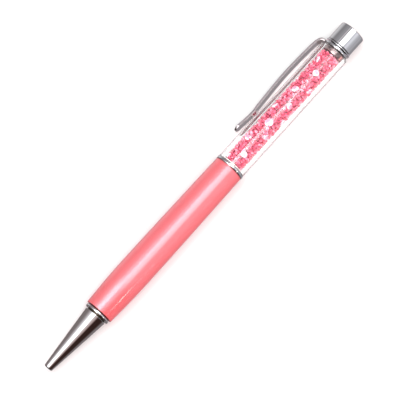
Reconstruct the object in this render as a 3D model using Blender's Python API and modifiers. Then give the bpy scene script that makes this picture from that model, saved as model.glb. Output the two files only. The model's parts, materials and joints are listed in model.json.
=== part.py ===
"""A slim twist-action gel pen with a clear upper tube full of loose crystals.

The pen lies on the surface z = 0 along X, nose towards -X, and rests on its barrel and on the edge
of its clip. Every piece is drawn standing on its nose: the pen's axis is Z, heights are measured
from the nose tip and the clip is on the +X side. The empty named pen lays them all down.
All sizes below are in millimetres.
"""

import math

import bmesh
import bpy
from mathutils import Matrix, Vector

MM = 0.001

# Lengths along the pen, from the nose up.
NOSE_LENGTH = 21.4
NOSE_RING_GAP = 0.5
NOSE_RING_LENGTH = 0.9
BARREL_GAP = 0.3
BARREL_LENGTH = 59.2
TWIST_GAP = 0.1
CENTRE_RING_LENGTH = 1.0
TUBE_LENGTH = 47.9
CLIP_RING_GAP = 0.3
CLIP_RING_LENGTH = 0.8
CAP_RING_GAP = 0.25
CAP_RING_LENGTH = 0.45
CAP_GAP = 0.25
CAP_LENGTH = 6.6

# Radii of what shows.
NOSE_TIP_R = 1.4
NOSE_BASE_R = 3.72
NOSE_TIP_ROUND = 0.3
NOSE_RING_R = 4.3
BARREL_NOSE_R = 4.72
BARREL_BELLY_R = 5.25
BARREL_TOP_R = 4.9
CENTRE_RING_R = 5.02
TUBE_R = 4.87
CLIP_RING_R = 4.23
CAP_RING_R = 4.45
CAP_R = 4.28
CAP_ROUND = 0.3
BELLY_HEIGHT = 15.4  # from the barrel's lower end to where it is widest
BELLY_POWER = 1.6  # how late the barrel starts to narrow above its belly
EDGE = 0.12  # the small break on every outer corner

# Bores and clearances.
FIXED_GAP = 0.05  # round a piece that is pressed, screwed or glued in
RUNNING_GAP = 0.1  # round a piece that turns or slides
FACE_GAP = 0.1  # between faces that meet end to end
MOUTH_R = 0.95
MOUTH_LENGTH = 3.0
SPRING_ROOM = 0.28  # from the refill out to the wall of the spring's chamber
NOSE_WALL = 0.47  # at the inner end of the nose cone's thread
NOSE_THREAD_LENGTH = 6.4
BUSH_STEP = 0.7
BUSH_LENGTH = 7.5
BUSH_BORE_ROOM = 0.42
BARREL_BORE_R = 4.0
TUBE_BORE_R = 3.55
BOTTOM_PLUG_DEPTH = 0.5
TOP_PLUG_DEPTH = 1.55
STUD_R = 1.5
STUD_LENGTH = 6.0
CAP_WALL = 0.75
CAP_CROWN = 1.0
INSERT_LENGTH = 4.2

# The twist mechanism.
POINT_TRAVEL = 4.6
TWIST_TURN = math.pi
SLEEVE_LENGTH = 2.6
SEAL_WIRE_R = 0.42
HOUSING_WALL = 0.75
HOUSING_LIP = 0.8
ROTOR_WALL = 0.7
ROTOR_LENGTH = 16.6
PIN_R = 0.4
PIN_TIP_GAP = 0.25
PIN_ROOT = 1.0
SLOT_MARGIN = 3.0  # from the rotor's lower end up to the pin at its lowest
SLIDER_HEAD = 1.7
PIN_TO_SOCKET = 1.8
SOCKET_DEPTH = 5.5
STEM_LENGTH = 4.2

# The refill. With the barrel above it is 67 mm long and 2.35 mm thick.
POINT_SETBACK = 1.7  # how far the ball sits inside the mouth
REFILL_R = 1.175
REFILL_WALL = 0.3
BALL_R = 0.34
BALL_SHOW = 0.28
BALL_SEAT_DEPTH = 0.65
INK_CHANNEL_R = 0.15
CONE_LENGTH = 2.2
NEEDLE_R = 0.8
TIP_REACH = 12.8  # from the ball to the shoulder that the spring pushes on
SHOULDER_LENGTH = 0.5
TIP_SPIGOT = 3.0
INK_LENGTH = 34.0
GREASE_LENGTH = 4.0
END_PLUG_LENGTH = 2.2
VENT_R = 0.2
SPRING_WIRE_R = 0.14
SPRING_SIDE_GAP = 0.175  # between the spring and the wall of its chamber
SPRING_TURNS = 8

# The clip, a bent strip of sheet steel. Both lists follow the middle of its thickness down from the
# middle of the clip ring: the root as (distance down, share of the way out from just off the ring's
# rim to the arm), the arm as (distance down, distance out from the tube).
CLIP_WIDTH = 3.2
CLIP_THICKNESS = 0.65
CLIP_BEVEL = 0.1
CLIP_RIM_GAP = 0.1
CLIP_ROOT_TO_ARM = ((0.0, 0.0), (0.02, 0.27), (0.12, 0.56), (0.42, 0.8))
CLIP_ARM_FROM_TUBE = (
    (1.0, 1.11), (2.4, 1.46), (5.2, 1.72), (9.5, 1.93), (15.0, 2.05), (20.0, 1.93), (25.0, 1.65),
    (28.6, 1.43), (31.4, 1.16), (33.8, 1.25), (36.2, 1.52), (38.0, 1.67), (39.3, 1.72),
)
CLIP_ROWS = 60
CLIP_COLUMNS = 6
CLIP_END_SHARE = 0.2  # of the clip's width, left square at the very end of its round tip
DIMPLE_DOWN = 31.4
DIMPLE_DEPTH = 0.62
DIMPLE_WIDTH = 1.0
DIMPLE_STEEPNESS = 1.5
CLIP_FLOOR_GAP = 0.05

# Facets round a full turn.
OUTER_STEPS = 48
INNER_STEPS = 32
FINE_STEPS = 20

# Heights worked out from the lengths above.
NOSE_RING_LOW = NOSE_LENGTH + NOSE_RING_GAP
NOSE_RING_HIGH = NOSE_RING_LOW + NOSE_RING_LENGTH
BARREL_LOW = NOSE_RING_HIGH + BARREL_GAP
BARREL_HIGH = BARREL_LOW + BARREL_LENGTH
CENTRE_RING_LOW = BARREL_HIGH + TWIST_GAP
CENTRE_RING_HIGH = CENTRE_RING_LOW + CENTRE_RING_LENGTH
TUBE_LOW = CENTRE_RING_HIGH + FIXED_GAP
TUBE_HIGH = TUBE_LOW + TUBE_LENGTH
CLIP_RING_LOW = TUBE_HIGH + CLIP_RING_GAP
CLIP_RING_HIGH = CLIP_RING_LOW + CLIP_RING_LENGTH
CAP_RING_LOW = CLIP_RING_HIGH + CAP_RING_GAP
CAP_RING_HIGH = CAP_RING_LOW + CAP_RING_LENGTH
CAP_LOW = CAP_RING_HIGH + CAP_GAP
PEN_LENGTH = CAP_LOW + CAP_LENGTH

# Heights and radii of the mechanism, from the barrel's bore inwards and from its top down.
SLEEVE_R = BARREL_BORE_R - RUNNING_GAP
SLEEVE_LOW = BARREL_HIGH - SLEEVE_LENGTH
ROTOR_HIGH = SLEEVE_LOW - FACE_GAP
ROTOR_LOW = ROTOR_HIGH - ROTOR_LENGTH
HOUSING_R = BARREL_BORE_R - FIXED_GAP
HOUSING_BORE_R = HOUSING_R - HOUSING_WALL
ROTOR_R = HOUSING_BORE_R - RUNNING_GAP
ROTOR_BORE_R = ROTOR_R - ROTOR_WALL
SLIDER_R = ROTOR_BORE_R - RUNNING_GAP
PIN_REACH = HOUSING_R - PIN_TIP_GAP
HOUSING_LOW = ROTOR_LOW - FACE_GAP - HOUSING_LIP
PIN_OUT = ROTOR_LOW + SLOT_MARGIN
PIN_HOME = PIN_OUT + POINT_TRAVEL
SLIDER_HIGH = PIN_HOME + SLIDER_HEAD
SOCKET_HIGH = PIN_HOME - PIN_TO_SOCKET
SLIDER_LOW = SOCKET_HIGH - SOCKET_DEPTH
PIN_SLOT_HALF = PIN_R + RUNNING_GAP

# Heights and radii in the nose and the refill.
SHOULDER_LOW = POINT_SETBACK + TIP_REACH
SHOULDER_HIGH = SHOULDER_LOW + SHOULDER_LENGTH
REFILL_LOW = SHOULDER_HIGH + FACE_GAP
REFILL_HIGH = SOCKET_HIGH - FACE_GAP
REFILL_BORE_R = REFILL_R - REFILL_WALL
FILLING_R = REFILL_BORE_R - FIXED_GAP
SPRING_CHAMBER_R = REFILL_R + SPRING_ROOM
SPRING_R = SPRING_CHAMBER_R - SPRING_WIRE_R - SPRING_SIDE_GAP
CHAMBER_LOW = MOUTH_LENGTH + (SPRING_CHAMBER_R - MOUTH_R)
THREAD_LOW = NOSE_LENGTH - NOSE_THREAD_LENGTH
NOSE_SLOPE = (NOSE_BASE_R - NOSE_TIP_R) / (NOSE_LENGTH - NOSE_TIP_ROUND)
NOSE_THREAD_R = NOSE_TIP_R + NOSE_SLOPE * (THREAD_LOW - NOSE_TIP_ROUND) - NOSE_WALL
BUSH_NECK_R = BARREL_BORE_R - BUSH_STEP
BUSH_BORE_R = REFILL_R + BUSH_BORE_ROOM

# The clip's whole route, as points of (height, distance from the pen's axis).
CLIP_MIDDLE = (CLIP_RING_LOW + CLIP_RING_HIGH) / 2
CLIP_ROOT_R = CLIP_RING_R + CLIP_RIM_GAP
CLIP_RISE = TUBE_R + CLIP_ARM_FROM_TUBE[0][1] - CLIP_ROOT_R
CLIP_ROUTE = tuple((CLIP_MIDDLE - down, CLIP_ROOT_R + share * CLIP_RISE) for down, share in CLIP_ROOT_TO_ARM)
CLIP_ROUTE += tuple((CLIP_MIDDLE - down, TUBE_R + out) for down, out in CLIP_ARM_FROM_TUBE)
CLIP_TIP = CLIP_ROUTE[-1][0]

PIN_ANGLE = math.pi / 2


def finish(name, colour, roughness, metallic=0.0, transmission=0.0):
    """A plain material; colour is linear RGB."""
    material = bpy.data.materials.new(name)
    material.use_nodes = True
    shader = material.node_tree.nodes["Principled BSDF"]
    shader.inputs["Base Color"].default_value = (*colour, 1.0)
    shader.inputs["Roughness"].default_value = roughness
    shader.inputs["Metallic"].default_value = metallic
    shader.inputs["Transmission Weight"].default_value = transmission
    return material


def add(name, data, material):
    """Puts a part in the pen's collection, under the pen's empty."""
    piece = bpy.data.objects.new(name, data)
    parts.objects.link(piece)
    piece.parent = pen
    data.materials.append(material)
    return piece


def turned(name, profile, material, steps=INNER_STEPS, closed=True):
    """Turns a profile of (radius, height) points, which runs down its outer side, about Z."""
    mesh = bpy.data.meshes.new(name)
    edges = [(i, i + 1) for i in range(len(profile) - 1)]
    if closed:
        edges.append((len(profile) - 1, 0))
    mesh.from_pydata([(r * MM, 0.0, h * MM) for r, h in profile], edges, [])
    piece = add(name, mesh, material)
    screw = piece.modifiers.new("turn", "SCREW")
    screw.steps = screw.render_steps = steps
    screw.use_merge_vertices = True
    screw.merge_threshold = 1e-6
    return piece


def ring_profile(inner, outer, low, high, edge=0.0):
    """A ring's section, with a break of edge on its two outer corners."""
    outside = [(outer, high), (outer, low)]
    if edge:
        outside = [(outer - edge, high), (outer, high - edge), (outer, low + edge), (outer - edge, low)]
    return outside + [(inner, low), (inner, high)]


def rod_profile(radius, low, high):
    """Half the section of a solid round rod."""
    return [(0.0, high), (radius, high), (radius, low), (0.0, low)]


def arc(centre_r, centre_h, radius, start, end, steps=3):
    """Points on an arc, with its angles in degrees from the outward direction."""
    turns = [math.radians(start + (end - start) * i / steps) for i in range(steps + 1)]
    return [(centre_r + radius * math.cos(t), centre_h + radius * math.sin(t)) for t in turns]


def cutter(name, bm, matrix=None):
    """A hidden solid, in the pen's own frame, for a Boolean to take away."""
    if matrix:
        bmesh.ops.transform(bm, matrix=matrix, verts=bm.verts)
    bmesh.ops.scale(bm, vec=(MM, MM, MM), verts=bm.verts)
    bmesh.ops.recalc_face_normals(bm, faces=bm.faces)
    mesh = bpy.data.meshes.new(name)
    bm.to_mesh(mesh)
    bm.free()
    solid = bpy.data.objects.new(name, mesh)
    cutters.objects.link(solid)
    solid.parent = pen
    solid.hide_render = True
    solid.display_type = "WIRE"
    return solid


def cut(piece, solid):
    boolean = piece.modifiers.new(solid.name, "BOOLEAN")
    boolean.operation = "DIFFERENCE"
    boolean.object = solid


def box_cutter(name, low, high, angle=0.0):
    """A box between two corners, turned by angle about the pen's axis."""
    low, high = Vector(low), Vector(high)
    bm = bmesh.new()
    bmesh.ops.create_cube(bm, size=1.0)
    place = Matrix.Translation((low + high) / 2) @ Matrix.Diagonal((*(high - low), 1.0))
    return cutter(name, bm, Matrix.Rotation(angle, 4, "Z") @ place)


def nose_cone():
    shell = [(NOSE_BASE_R - EDGE, NOSE_LENGTH), (NOSE_BASE_R, NOSE_LENGTH - EDGE)]
    shell += arc(NOSE_TIP_R - NOSE_TIP_ROUND, NOSE_TIP_ROUND, NOSE_TIP_ROUND, 0, -90)
    bore = [(MOUTH_R, 0.0), (MOUTH_R, MOUTH_LENGTH), (SPRING_CHAMBER_R, CHAMBER_LOW),
            (SPRING_CHAMBER_R, THREAD_LOW), (NOSE_THREAD_R, THREAD_LOW), (NOSE_THREAD_R, NOSE_LENGTH)]
    turned("nose_cone", shell + bore, chrome, OUTER_STEPS)


def nose_bush():
    """The threaded bush in the barrel's lower end that the nose cone screws onto."""
    spigot_r = NOSE_THREAD_R - FIXED_GAP
    body_r = BARREL_BORE_R - FIXED_GAP
    neck_low = NOSE_LENGTH + FACE_GAP
    body_low = BARREL_LOW - FACE_GAP
    body_high = BARREL_LOW + BUSH_LENGTH
    turned("nose_bush", [
        (body_r, body_high), (body_r, body_low), (BUSH_NECK_R, body_low), (BUSH_NECK_R, neck_low),
        (spigot_r, neck_low), (spigot_r, THREAD_LOW + FACE_GAP), (BUSH_BORE_R, THREAD_LOW + FACE_GAP),
        (BUSH_BORE_R, body_high),
    ], brass)


def nose_ring():
    inner = BUSH_NECK_R + FIXED_GAP
    profile = ring_profile(inner, NOSE_RING_R, NOSE_RING_LOW, NOSE_RING_HIGH, EDGE)
    turned("nose_ring", profile, chrome, OUTER_STEPS)


def barrel_radius(height):
    """The barrel's radius: it swells to its belly, then narrows slowly towards its top."""
    above = height - BARREL_LOW
    if above < BELLY_HEIGHT:
        swell = math.sin(math.pi / 2 * above / BELLY_HEIGHT)
        return BARREL_NOSE_R + (BARREL_BELLY_R - BARREL_NOSE_R) * swell
    share = (above - BELLY_HEIGHT) / (BARREL_LENGTH - BELLY_HEIGHT)
    return BARREL_BELLY_R - (BARREL_BELLY_R - BARREL_TOP_R) * share**BELLY_POWER


def lower_barrel():
    belly = BARREL_LOW + BELLY_HEIGHT
    top, foot = BARREL_HIGH - EDGE, BARREL_LOW + EDGE
    heights = [top + (belly - top) * i / 7 for i in range(7)]
    heights += [belly + (foot - belly) * i / 5 for i in range(6)]
    wall = [(barrel_radius(h), h) for h in heights]
    shell = [(BARREL_TOP_R - EDGE, BARREL_HIGH)] + wall + [(BARREL_NOSE_R - EDGE, BARREL_LOW)]
    bore = [(BARREL_BORE_R, BARREL_LOW), (BARREL_BORE_R, BARREL_HIGH)]
    turned("lower_barrel", shell + bore, lacquer, OUTER_STEPS)


def centre_ring():
    """The flange that shows between the halves, and the sleeve that turns in the barrel."""
    seal_r = SLEEVE_R + FIXED_GAP - 2 * SEAL_WIRE_R - RUNNING_GAP
    middle = SLEEVE_LOW + SLEEVE_LENGTH / 2
    half = SEAL_WIRE_R + RUNNING_GAP
    flange = ring_profile(0, CENTRE_RING_R, CENTRE_RING_LOW, CENTRE_RING_HIGH, EDGE)[:4]
    groove = [(SLEEVE_R, middle + half), (seal_r, middle + half), (seal_r, middle - half),
              (SLEEVE_R, middle - half)]
    bore_r = ROTOR_BORE_R
    turned("centre_ring", flange + [(SLEEVE_R, CENTRE_RING_LOW)] + groove + [
        (SLEEVE_R, SLEEVE_LOW), (bore_r, SLEEVE_LOW), (bore_r, CENTRE_RING_HIGH),
    ], chrome, OUTER_STEPS)


def friction_ring():
    """The rubber ring in the sleeve's groove, which makes the twist stay where it is put."""
    middle = SLEEVE_LOW + SLEEVE_LENGTH / 2
    centre_r = SLEEVE_R + FIXED_GAP - SEAL_WIRE_R
    wire = arc(centre_r, middle, SEAL_WIRE_R, 90, -270, 10)[:-1]
    turned("friction_ring", wire, rubber)


def mechanism_housing():
    """The fixed sleeve of the mechanism: its straight slot keeps the pin from turning."""
    top = ROTOR_HIGH
    lip_r = SLIDER_R + RUNNING_GAP + FIXED_GAP
    piece = turned("mechanism_housing", [
        (HOUSING_R, top), (HOUSING_R, HOUSING_LOW), (lip_r, HOUSING_LOW),
        (lip_r, HOUSING_LOW + HOUSING_LIP), (HOUSING_BORE_R, HOUSING_LOW + HOUSING_LIP), (HOUSING_BORE_R, top),
    ], nylon)
    low = (HOUSING_BORE_R - RUNNING_GAP, -PIN_SLOT_HALF, PIN_OUT - PIN_SLOT_HALF)
    high = (HOUSING_R + RUNNING_GAP, PIN_SLOT_HALF, PIN_HOME + PIN_SLOT_HALF)
    cut(piece, box_cutter("straight_slot", low, high, PIN_ANGLE))


def cam_rotor():
    """The tube that turns with the upper half: its helical slot drives the pin along."""
    profile = ring_profile(ROTOR_BORE_R, ROTOR_R, ROTOR_LOW, ROTOR_HIGH)
    cut(turned("cam_rotor", profile, nylon), helical_slot())


def helical_slot(steps=26):
    """Half a turn of the pin's path, carried on at both ends to clear the pin."""
    lead = POINT_TRAVEL / TWIST_TURN
    half = PIN_SLOT_HALF * math.hypot(1.0, lead / ROTOR_BORE_R)
    spare = math.atan(PIN_SLOT_HALF / ROTOR_BORE_R)
    turn = TWIST_TURN + 2 * spare
    inner, outer = SLIDER_R - RUNNING_GAP, HOUSING_BORE_R + RUNNING_GAP
    start = PIN_HOME + lead * spare
    bm = bmesh.new()
    corners = [(inner, 0, start - half), (outer, 0, start - half), (outer, 0, start + half), (inner, 0, start + half)]
    face = bm.faces.new([bm.verts.new(corner) for corner in corners])
    bmesh.ops.rotate(bm, verts=bm.verts, matrix=Matrix.Rotation(PIN_ANGLE - spare, 3, "Z"))
    bmesh.ops.spin(bm, geom=[face, *face.edges, *face.verts], cent=(0, 0, 0), axis=(0, 0, 1),
                   dvec=(0, 0, -lead * turn / steps), angle=turn, steps=steps)
    return cutter("helical_slot", bm)


def slider():
    """The plug that the pin drives: it holds the refill's rear end in a socket."""
    socket_r = REFILL_R + FIXED_GAP
    piece = turned("slider", [
        (0.0, SLIDER_HIGH), (SLIDER_R, SLIDER_HIGH), (SLIDER_R, SLIDER_LOW), (socket_r, SLIDER_LOW),
        (socket_r, SOCKET_HIGH), (0.0, SOCKET_HIGH),
    ], nylon, closed=False)
    bm = bmesh.new()
    bmesh.ops.create_cone(bm, cap_ends=True, segments=FINE_STEPS, radius1=PIN_R + FIXED_GAP,
                          radius2=PIN_R + FIXED_GAP, depth=SLIDER_R)
    middle = PIN_ROOT - FIXED_GAP + SLIDER_R / 2
    cut(piece, cutter("pin_hole", bm, across(middle, PIN_HOME)))


def across(distance, height):
    """Lays a rod that stands along Z radially over the pin's slot, its middle at distance."""
    lay = Matrix.Translation((distance, 0, height)) @ Matrix.Rotation(math.pi / 2, 4, "Y")
    return Matrix.Rotation(PIN_ANGLE, 4, "Z") @ lay


def follower_pin():
    """The steel pin from the slider through the rotor's slot into the housing's slot."""
    bm = bmesh.new()
    bmesh.ops.create_cone(bm, cap_ends=True, segments=FINE_STEPS, radius1=PIN_R, radius2=PIN_R,
                          depth=PIN_REACH - PIN_ROOT)
    bmesh.ops.transform(bm, matrix=across((PIN_REACH + PIN_ROOT) / 2, PIN_HOME), verts=bm.verts)
    bmesh.ops.scale(bm, vec=(MM, MM, MM), verts=bm.verts)
    mesh = bpy.data.meshes.new("follower_pin")
    bm.to_mesh(mesh)
    bm.free()
    add("follower_pin", mesh, steel)


def tube_bottom_plug():
    """The plug that closes the crystal tube below, on the stem that carries the rotor."""
    plug_r, stem_r = TUBE_BORE_R - FIXED_GAP, ROTOR_BORE_R - FIXED_GAP
    top = TUBE_LOW + BOTTOM_PLUG_DEPTH
    low = ROTOR_HIGH - STEM_LENGTH
    turned("tube_bottom_plug", [
        (0.0, top), (plug_r, top), (plug_r, TUBE_LOW), (stem_r, TUBE_LOW), (stem_r, low), (0.0, low),
    ], nylon, closed=False)


def crystal_tube():
    """The thick-walled clear tube, its rims broken inside and out."""
    inner = TUBE_BORE_R
    turned("crystal_tube", ring_profile(inner + EDGE, TUBE_R, TUBE_LOW, TUBE_HIGH, EDGE)[:4] + [
        (inner + EDGE, TUBE_LOW), (inner, TUBE_LOW + EDGE), (inner, TUBE_HIGH - EDGE), (inner + EDGE, TUBE_HIGH),
    ], acrylic, OUTER_STEPS)


def crystal_fill():
    """The space that the loose crystals take up, as one rod."""
    low = TUBE_LOW + BOTTOM_PLUG_DEPTH + FACE_GAP
    high = TUBE_HIGH - TOP_PLUG_DEPTH - FACE_GAP
    turned("crystal_fill", rod_profile(TUBE_BORE_R - RUNNING_GAP, low, high), crystal, closed=False)


def tube_top_plug():
    """The plug in the tube's upper end, with the stud that the cap screws onto."""
    plug_r = TUBE_BORE_R - FIXED_GAP
    seat = TUBE_HIGH - EDGE
    turned("tube_top_plug", [
        (0.0, TUBE_HIGH + STUD_LENGTH), (STUD_R, TUBE_HIGH + STUD_LENGTH), (STUD_R, seat), (plug_r, seat),
        (plug_r, TUBE_HIGH - TOP_PLUG_DEPTH), (0.0, TUBE_HIGH - TOP_PLUG_DEPTH),
    ], steel, closed=False)


def clip_ring():
    """The ring that the clip grows from, on the stud between the tube and the cap."""
    profile = ring_profile(STUD_R + FIXED_GAP, CLIP_RING_R, CLIP_RING_LOW, CLIP_RING_HIGH, EDGE)
    turned("clip_ring", profile, chrome, OUTER_STEPS)


def cap_ring():
    """The thin trim ring below the cap."""
    profile = ring_profile(STUD_R + FIXED_GAP, CAP_RING_R, CAP_RING_LOW, CAP_RING_HIGH, EDGE)
    turned("cap_ring", profile, chrome, OUTER_STEPS)


def smooth_point(points, share):
    """The point at share, from 0 to 1, of a smooth curve through points (Catmull-Rom)."""
    place = share * (len(points) - 1)
    i = min(int(place), len(points) - 2)
    t = place - i
    ends = [points[max(i - 1, 0)], points[i], points[i + 1], points[min(i + 2, len(points) - 1)]]
    a, b, c, d = (Vector(end) for end in ends)
    return 0.5 * (2 * b + (c - a) * t + (2 * a - 5 * b + 4 * c - d) * t**2 + (3 * b - a - 3 * c + d) * t**3)


def clip_half_width(to_tip):
    """Half the strip's width at a distance from its tip, which is rounded over that half."""
    half = CLIP_WIDTH / 2
    short = half - min(max(to_tip, 0.0), half)
    return max(math.sqrt(half**2 - short**2), CLIP_END_SHARE * half)


def clip_sheet_point(share, across_share):
    """A point in the middle of the clip's sheet: along its route, and from -1 to 1 across it."""
    height, distance = smooth_point(CLIP_ROUTE, share)
    onward = smooth_point(CLIP_ROUTE, min(share + 0.002, 1.0)) - smooth_point(CLIP_ROUTE, max(share - 0.002, 0.0))
    side = across_share * clip_half_width(height - CLIP_TIP)
    inward = Vector((-onward.y, onward.x)).normalized()
    away = math.hypot(CLIP_MIDDLE - DIMPLE_DOWN - height, side) / DIMPLE_WIDTH
    press = inward * DIMPLE_DEPTH * math.exp(-DIMPLE_STEEPNESS * away**2)
    return Vector((distance + press.y, side, height + press.x))


def clip():
    """The bent strip, with a dimple pressed in near its tip to grip against the tube."""
    bm = bmesh.new()
    bmesh.ops.create_grid(bm, x_segments=CLIP_ROWS, y_segments=CLIP_COLUMNS, size=1.0)
    pivot = Vector((CLIP_ROUTE[0][1], 0.0, CLIP_ROUTE[0][0]))
    for vert in bm.verts:
        vert.co = (clip_sheet_point((vert.co.x + 1) / 2, vert.co.y) - pivot) * MM
    mesh = bpy.data.meshes.new("clip")
    bm.to_mesh(mesh)
    bm.free()
    piece = add("clip", mesh, chrome)
    piece.location = pivot * MM
    sheet = piece.modifiers.new("thickness", "SOLIDIFY")
    sheet.thickness = CLIP_THICKNESS * MM
    sheet.offset = 0.0
    sheet.use_even_offset = True
    edges = piece.modifiers.new("edges", "BEVEL")
    edges.width = CLIP_BEVEL * MM
    edges.segments = 1
    edges.limit_method = "ANGLE"
    edges.angle_limit = math.radians(50)


def finial_cap():
    """The cap: a shell with a flat crown and a thread bush inside."""
    crown = arc(CAP_R - CAP_ROUND, PEN_LENGTH - CAP_ROUND, CAP_ROUND, 90, 0)
    cavity_r, ceiling = CAP_R - CAP_WALL, PEN_LENGTH - CAP_CROWN
    turned("finial_cap", [(0.0, PEN_LENGTH), *crown, (CAP_R, CAP_LOW + EDGE), (CAP_R - EDGE, CAP_LOW),
                          (cavity_r, CAP_LOW), (cavity_r, ceiling), (0.0, ceiling)],
           chrome, OUTER_STEPS, closed=False)


def cap_insert():
    """The threaded bush pressed into the cap."""
    low = CAP_LOW + FACE_GAP
    outer = CAP_R - CAP_WALL - FIXED_GAP
    turned("cap_insert", ring_profile(STUD_R + FIXED_GAP, outer, low, low + INSERT_LENGTH), brass)


def refill_tube():
    profile = ring_profile(REFILL_BORE_R, REFILL_R, REFILL_LOW, REFILL_HIGH)
    turned("refill_tube", profile, clear_plastic, FINE_STEPS)


def refill_tip():
    """The metal point: ball seat, cone, needle, the spring's shoulder, and a spigot in the tube."""
    face = POINT_SETBACK + BALL_SHOW
    seat_r = BALL_R + FIXED_GAP / 2
    rim_r = seat_r + FIXED_GAP
    turned("refill_tip", [
        (FILLING_R, SHOULDER_HIGH + TIP_SPIGOT), (FILLING_R, SHOULDER_HIGH), (REFILL_R, SHOULDER_HIGH),
        (REFILL_R, SHOULDER_LOW), (NEEDLE_R, SHOULDER_LOW), (NEEDLE_R, face + CONE_LENGTH), (rim_r, face),
        (seat_r, face), (seat_r, face + BALL_SEAT_DEPTH), (INK_CHANNEL_R, face + BALL_SEAT_DEPTH),
        (INK_CHANNEL_R, SHOULDER_HIGH + TIP_SPIGOT),
    ], steel, FINE_STEPS)


def writing_ball():
    bm = bmesh.new()
    bmesh.ops.create_uvsphere(bm, u_segments=16, v_segments=10, radius=BALL_R * MM)
    mesh = bpy.data.meshes.new("writing_ball")
    bm.to_mesh(mesh)
    bm.free()
    ball = add("writing_ball", mesh, steel)
    ball.location = (0.0, 0.0, (POINT_SETBACK + BALL_R) * MM)


def refill_contents():
    """The ink, the grease that follows it down, and the vented plug in the refill's end."""
    ink_low = SHOULDER_HIGH + TIP_SPIGOT + FACE_GAP
    grease_low = ink_low + INK_LENGTH + FACE_GAP
    turned("ink_column", rod_profile(FILLING_R, ink_low, ink_low + INK_LENGTH), ink, FINE_STEPS, closed=False)
    grease_profile = rod_profile(FILLING_R, grease_low, grease_low + GREASE_LENGTH)
    turned("grease_follower", grease_profile, grease, FINE_STEPS, closed=False)
    plug = ring_profile(VENT_R, FILLING_R, REFILL_HIGH - END_PLUG_LENGTH, REFILL_HIGH)
    turned("refill_end_plug", plug, nylon, FINE_STEPS)


def return_spring():
    """The coil between the nose cone's seat and the refill's shoulder."""
    low = CHAMBER_LOW + SPRING_WIRE_R + FACE_GAP
    high = SHOULDER_LOW - SPRING_WIRE_R - FACE_GAP
    steps = 12 * SPRING_TURNS
    curve = bpy.data.curves.new("return_spring", "CURVE")
    curve.dimensions = "3D"
    curve.bevel_depth = SPRING_WIRE_R * MM
    curve.bevel_resolution = 2
    curve.use_fill_caps = True
    spline = curve.splines.new("POLY")
    spline.points.add(steps)
    for i, point in enumerate(spline.points):
        turn = 2 * math.pi * SPRING_TURNS * i / steps
        height = low + (high - low) * i / steps
        point.co = (SPRING_R * math.cos(turn) * MM, SPRING_R * math.sin(turn) * MM, height * MM, 1.0)
    add("return_spring", curve, steel)


def clip_reach():
    """The distance from the pen's axis to the clip's outer face where it stands furthest out."""
    return max(smooth_point(CLIP_ROUTE, i / 100)[1] for i in range(101)) + CLIP_THICKNESS / 2


def clip_lean():
    """The clip's angle below level when the barrel and the clip's edge both rest on the surface."""
    reach, half = clip_reach(), CLIP_WIDTH / 2
    return math.asin((BARREL_BELLY_R - CLIP_FLOOR_GAP) / math.hypot(reach, half)) - math.atan(half / reach)


def lay_down():
    """Places the pen's empty: nose to -X, clip to +Y, its box centred over the origin."""
    lean = clip_lean()
    clip_way = Vector((0.0, math.cos(lean), -math.sin(lean)))
    up_way = Vector((0.0, math.sin(lean), math.cos(lean)))
    side_reach = clip_reach() * math.cos(lean) + CLIP_WIDTH / 2 * math.sin(lean)
    turn = Matrix((clip_way, up_way, (1.0, 0.0, 0.0))).transposed().to_4x4()
    shift = Vector((-PEN_LENGTH / 2, (BARREL_BELLY_R - side_reach) / 2, BARREL_BELLY_R)) * MM
    pen.matrix_world = Matrix.Translation(shift) @ turn


def shade_round(piece):
    """Settles a mesh part's modifiers and shades it smooth, with its corners kept sharp."""
    mesh = bpy.data.meshes.new_from_object(piece.evaluated_get(bpy.context.evaluated_depsgraph_get()))
    piece.modifiers.clear()
    piece.data = mesh
    mesh.name = piece.name
    mesh.shade_smooth()
    mesh.set_sharp_from_angle(angle=math.radians(35))


for old in list(bpy.data.objects):
    bpy.data.objects.remove(old)

parts = bpy.data.collections.new("crystal_gel_pen")
cutters = bpy.data.collections.new("cutters")
for group in (parts, cutters):
    bpy.context.scene.collection.children.link(group)
pen = bpy.data.objects.new("pen", None)
pen.empty_display_size = 0.01
parts.objects.link(pen)

chrome = finish("chrome", (0.78, 0.79, 0.80), 0.05, metallic=1.0)
steel = finish("steel", (0.56, 0.57, 0.58), 0.22, metallic=1.0)
brass = finish("brass", (0.60, 0.42, 0.14), 0.30, metallic=1.0)
lacquer = finish("pearl_lacquer", (0.92, 0.19, 0.21), 0.22)
acrylic = finish("clear_acrylic", (1.0, 1.0, 1.0), 0.02, transmission=1.0)
crystal = finish("pink_crystal", (0.90, 0.16, 0.25), 0.05, transmission=0.6)
nylon = finish("nylon", (0.70, 0.69, 0.65), 0.45)
rubber = finish("black_rubber", (0.02, 0.02, 0.02), 0.60)
clear_plastic = finish("refill_plastic", (0.85, 0.87, 0.88), 0.25, transmission=0.5)
ink = finish("gel_ink", (0.01, 0.01, 0.02), 0.20)
grease = finish("follower_grease", (0.75, 0.68, 0.45), 0.15, transmission=0.5)

for make in (
    nose_cone, nose_bush, nose_ring, lower_barrel, centre_ring, friction_ring, mechanism_housing,
    cam_rotor, slider, follower_pin, tube_bottom_plug, crystal_tube, crystal_fill, tube_top_plug,
    clip_ring, clip, cap_ring, finial_cap, cap_insert, refill_tube, refill_tip, writing_ball,
    refill_contents, return_spring,
):
    make()

lay_down()
bpy.context.view_layer.update()
for piece in parts.objects:
    if piece.type == "MESH":
        shade_round(piece)
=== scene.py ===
"""The looks of a slim twist-action gel pen with a clear upper tube full of loose crystals.

The pen lies along X, nose towards -X, on the surface z = 0. Pieces turned on a lathe in the real pen
are spun here about the pen's axis from a profile of (x, radius) points. All lengths are in metres.
"""

import json
import math
import random

import bmesh
import bpy
from mathutils import Euler, Matrix, Vector


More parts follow.
